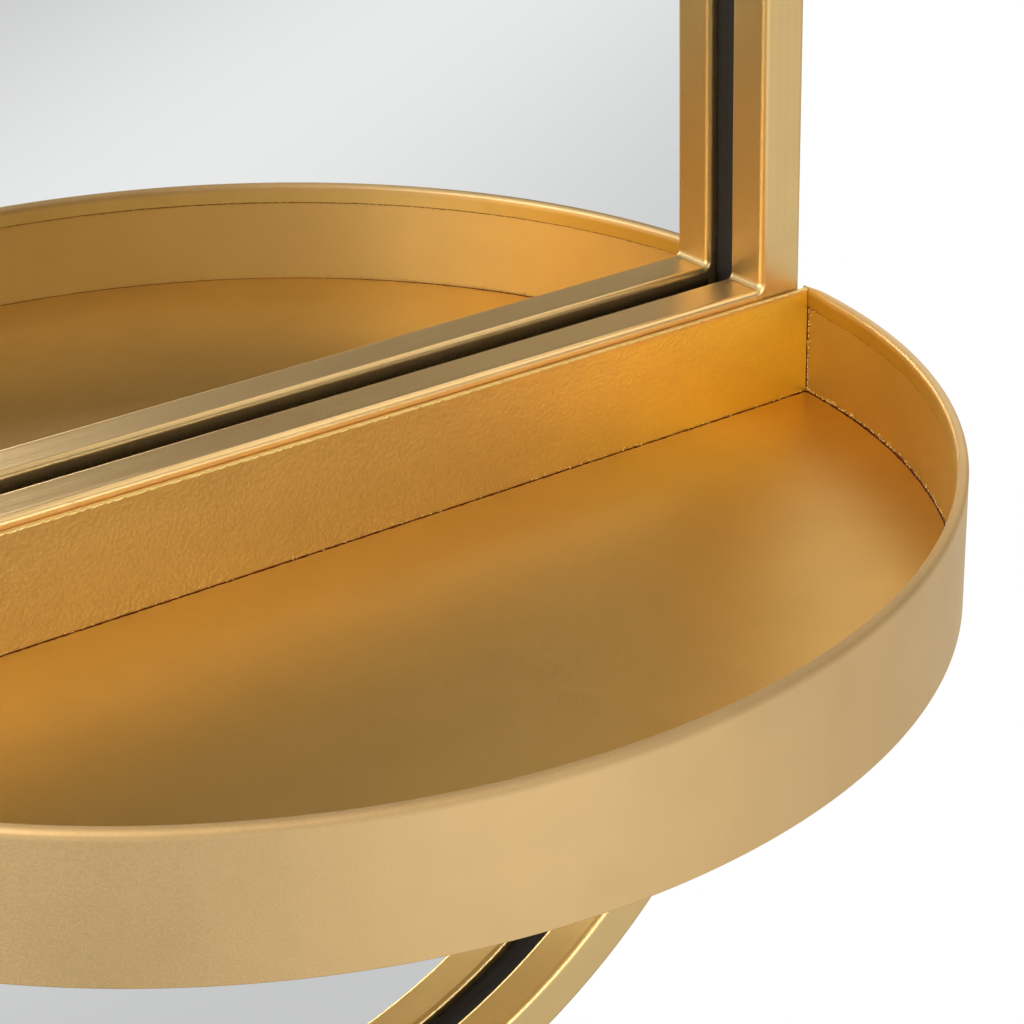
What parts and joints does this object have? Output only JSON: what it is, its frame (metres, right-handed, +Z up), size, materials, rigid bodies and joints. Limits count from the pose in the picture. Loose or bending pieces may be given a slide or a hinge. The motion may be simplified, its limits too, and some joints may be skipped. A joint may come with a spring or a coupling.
{
  "type": "wall mirror with shelf",
  "caption": "Capsule-shaped wall mirror in a brass-coloured square-tube frame, with a half-round metal tray shelf on a crossbar, hung from keyhole plates.",
  "frame": {"origin": "midway between the two keyhole entries, on the back face of the hanger plates", "axes": "+Z up, +X to the right seen from the front, +Y into the wall"},
  "size_m": [0.3096, 0.1775, 0.61],
  "materials": {
    "brass_paint": "satin brass-coloured lacquer with fine orange peel",
    "mirror": "silvered float glass",
    "black_rubber": "matt black rubber",
    "fibreboard": "raw hardboard",
    "zinc_steel": "zinc-plated steel"
  },
  "bodies": {
    "mirror_frame": {"right_rail": "brass_paint", "left_rail": "brass_paint", "top_arch": "brass_paint", "bottom_arch": "brass_paint", "crossbar": "brass_paint", "crossbar_welds": "brass_paint", "shelf_front_wall": "brass_paint", "shelf_back_wall": "brass_paint", "shelf_floor": "brass_paint", "shelf_floor_tacks": "brass_paint", "shelf_welds": "brass_paint", "upper_edge_band": "brass_paint", "lower_edge_band": "brass_paint", "button_posts": "brass_paint", "hanger_posts": "brass_paint", "mirror_glass": "mirror", "glass_gasket": "black_rubber", "wall_bumpers": "black_rubber", "backing_board": "fibreboard", "button_screws": "zinc_steel", "hanger_screws": "zinc_steel", "hanger_plate_right": "zinc_steel", "hanger_plate_left": "zinc_steel"},
    "button_top": {"turn_button_top": "zinc_steel"},
    "button_right_upper": {"turn_button_right_upper": "zinc_steel"},
    "button_right_lower": {"turn_button_right_lower": "zinc_steel"},
    "button_bottom": {"turn_button_bottom": "zinc_steel"},
    "button_left_lower": {"turn_button_left_lower": "zinc_steel"},
    "button_left_upper": {"turn_button_left_upper": "zinc_steel"}
  },
  "joints": [
    {"name": "turn_top", "type": "hinge", "parent": "mirror_frame", "child": "button_top", "pos_m": [0, -0.0046, 0.1805], "axis": [0, 1, 0], "range_deg": [-90, 90]},
    {"name": "turn_right_upper", "type": "hinge", "parent": "mirror_frame", "child": "button_right_upper", "pos_m": [0.148, -0.0046, -0.1], "axis": [0, 1, 0], "range_deg": [-90, 90]},
    {"name": "turn_right_lower", "type": "hinge", "parent": "mirror_frame", "child": "button_right_lower", "pos_m": [0.148, -0.0046, -0.23], "axis": [0, 1, 0], "range_deg": [-90, 90]},
    {"name": "turn_bottom", "type": "hinge", "parent": "mirror_frame", "child": "button_bottom", "pos_m": [0, -0.0046, -0.4205], "axis": [0, 1, 0], "range_deg": [-90, 90]},
    {"name": "turn_left_lower", "type": "hinge", "parent": "mirror_frame", "child": "button_left_lower", "pos_m": [-0.148, -0.0046, -0.23], "axis": [0, 1, 0], "range_deg": [-90, 90]},
    {"name": "turn_left_upper", "type": "hinge", "parent": "mirror_frame", "child": "button_left_upper", "pos_m": [-0.148, -0.0046, -0.1], "axis": [0, 1, 0], "range_deg": [-90, 90]}
  ]
}
